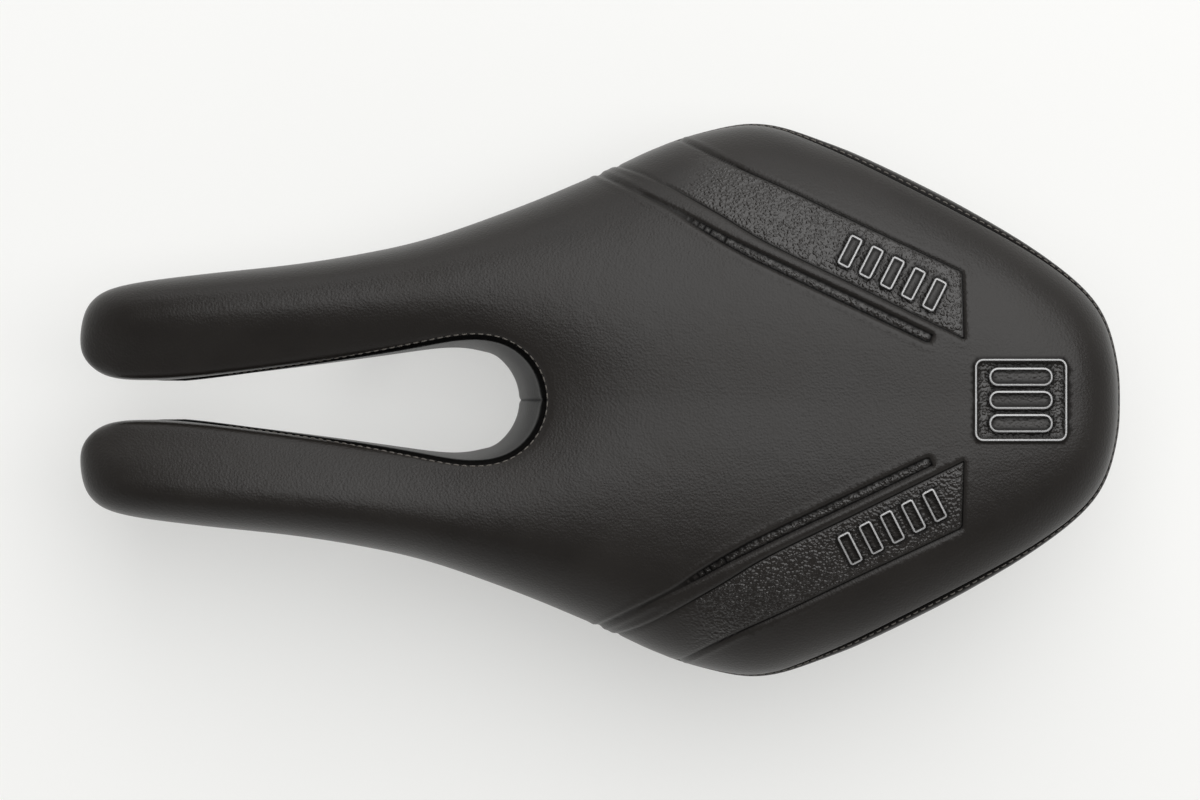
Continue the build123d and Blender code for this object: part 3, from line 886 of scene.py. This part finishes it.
cover_leather = leather("cover_leather")
skirt_leather = leather("skirt_leather")
silver_print = plain("silver_print", (0.42, 0.42, 0.42), 0.42, 2500, 0.3, metallic=0.35)
thread_black = plain("thread", (0.1, 0.09, 0.078), 0.5, 4000, 0.5, spread=0.5)
foam_grey = plain("foam", (0.09, 0.09, 0.09), 0.9, 900, 0.9)

# ---------------------------------------------------------------- the sewn cover
cover = top_cover([cover_leather, silver_print])
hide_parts("top_cover")
for piece in skirts(skirt_leather):
    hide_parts(piece.name.removesuffix("_sewn"))

sewn_edge = LOOP.ring(LOOP.seam)
tip = int(np.argmax(sewn_edge[:, 0]))
cutout_end = int(np.argmax(sewn_edge[:tip, 0] > CUTOUT_ROW_X))
outer_start = tip + int(np.argmax(sewn_edge[tip:, 0] < OUTER_ROW_X))
for name, first, last, offset in (
    ("outer_seam_thread", outer_start, len(sewn_edge), OUTER_ROW),
    ("cutout_seam_thread", 0, cutout_end, CUTOUT_ROW),
):
    piece = stitches(name, first, last, offset, thread_black)
    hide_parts(name)

# ---------------------------------------------------------------- foam, under the cover
foam_mesh = NODES["foam_pad"].data.copy()
foam_points = np.array([v.co for v in foam_mesh.vertices]) / MM
foam_mesh.vertices.foreach_set("co", (settled(foam_points) * MM).ravel())
foam_mesh.materials.clear()
foam_mesh.materials.append(foam_grey)
foam = bpy.data.objects.new("foam_pad_soft", foam_mesh)
bpy.context.scene.collection.objects.link(foam)
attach(foam, "root")
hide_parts("foam_pad")

# ---------------------------------------------------------------- the CAD's hard parts
base_plastic = plain("base_plastic", (0.025, 0.025, 0.026), 0.55, 1400, 0.35)
cap_plastic = plain("cap_plastic", (0.035, 0.035, 0.036), 0.5, 1800, 0.3)
rail_steel = plain(
    "rail_steel", (0.42, 0.42, 0.43), 0.3, 500, 0.12,
    metallic=1.0, stretch=(0.05, 1, 1), spread=0.08,
)
screw_steel = plain("screw_steel", (0.3, 0.3, 0.31), 0.35, 900, 0.1, metallic=1.0)
insert_brass = plain("insert_brass", (0.7, 0.5, 0.22), 0.35, 900, 0.1, metallic=1.0)
for name, node in NODES.items():
    for words, material in (
        ("base_shell", base_plastic), ("_cap_", cap_plastic), ("rail_", rail_steel),
        ("_screws_", screw_steel), ("_inserts_", insert_brass),
    ):
        if words in name:
            for slot in node.material_slots:
                slot.material = material

# ---------------------------------------------------------------- floor, light
WALLS, CEILING = 0.65, 0.18
FLOOR_GLOW = 0.42           # the pale table is lit from below too, so its shadows are faint
floor_mesh = bpy.data.meshes.new("floor")
floor_mesh.from_pydata([(-3, -3, 0), (3, -3, 0), (3, 3, 0), (-3, 3, 0)], [], [(0, 1, 2, 3)])
floor = bpy.data.objects.new("floor", floor_mesh)
bpy.context.scene.collection.objects.link(floor)
floor_white = plain("floor", (0.54, 0.54, 0.53), 0.8, 3, 0.0, spread=0.01)
floor_shader = floor_white.node_tree.nodes["Principled BSDF"]
floor_shader.inputs["Emission Color"].default_value = (1.0, 1.0, 0.98, 1)
floor_shader.inputs["Emission Strength"].default_value = FLOOR_GLOW
floor_mesh.materials.append(floor_white)


def area(name, location, target, size, watts):
    """A soft rectangular lamp that faces its target."""
    data = bpy.data.lights.new(name, "AREA")
    data.energy = watts
    data.shape = "RECTANGLE"
    data.size, data.size_y = size
    lamp = bpy.data.objects.new(name, data)
    lamp.location = location
    lamp.rotation_euler = (Vector(target) - Vector(location)).to_track_quat("-Z", "Y").to_euler()
    bpy.context.scene.collection.objects.link(lamp)


area("key", (-0.5, -1.05, 1.9), (-0.5, -1.05, 0), (2.2, 2.7), 47)
area("side", (0.1, -2.3, 1.1), (0, 0, 0), (2.4, 1.2), 10)
world = bpy.data.worlds.new("world")
bpy.context.scene.world = world
world.use_nodes = True
nodes, links = world.node_tree.nodes, world.node_tree.links
way = nodes.new("ShaderNodeSeparateXYZ")
links.new(nodes.new("ShaderNodeTexCoord").outputs["Generated"], way.inputs[0])
glow = nodes.new("ShaderNodeMapRange")       # a pale room: bright walls, a dimmer ceiling
links.new(way.outputs["Z"], glow.inputs[0])
for number, value in enumerate((0.3, 0.6, WALLS, CEILING), start=1):
    glow.inputs[number].default_value = value
links.new(glow.outputs[0], nodes["Background"].inputs["Strength"])
nodes["Background"].inputs["Color"].default_value = (1, 1, 1, 1)
bpy.context.scene.view_settings.view_transform = "Standard"
